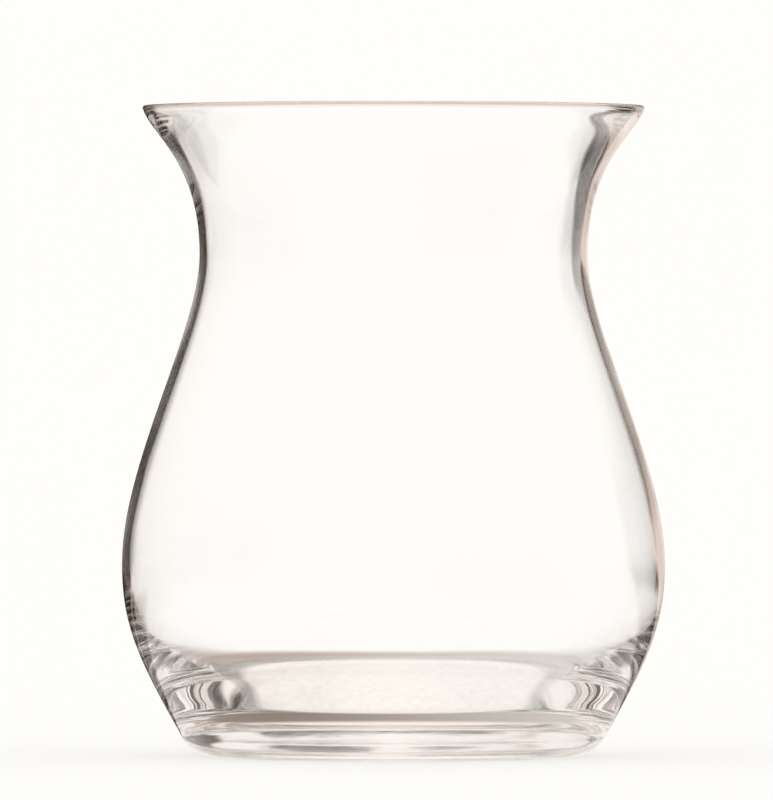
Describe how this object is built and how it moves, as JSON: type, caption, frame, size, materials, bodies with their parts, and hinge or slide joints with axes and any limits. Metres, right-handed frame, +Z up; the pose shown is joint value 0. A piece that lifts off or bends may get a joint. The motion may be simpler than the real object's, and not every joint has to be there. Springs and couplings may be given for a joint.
{
  "type": "posy vase",
  "caption": "Clear blown-glass posy vase with a heavy base, full belly, drawn-in waist and flared, flat-cut rim, open at the top for a short bunch of flowers.",
  "frame": {"origin": "middle of the flat foot, on the surface that the vase stands on", "axes": "+Z up along the axis that the vase is round about; X and Y are alike"},
  "size_m": [0.142, 0.142, 0.17],
  "materials": {
    "clear_glass": "clear, smooth blown glass with a cut and polished rim"
  },
  "bodies": {
    "root": {"vase_body": "clear_glass"}
  },
  "joints": []
}
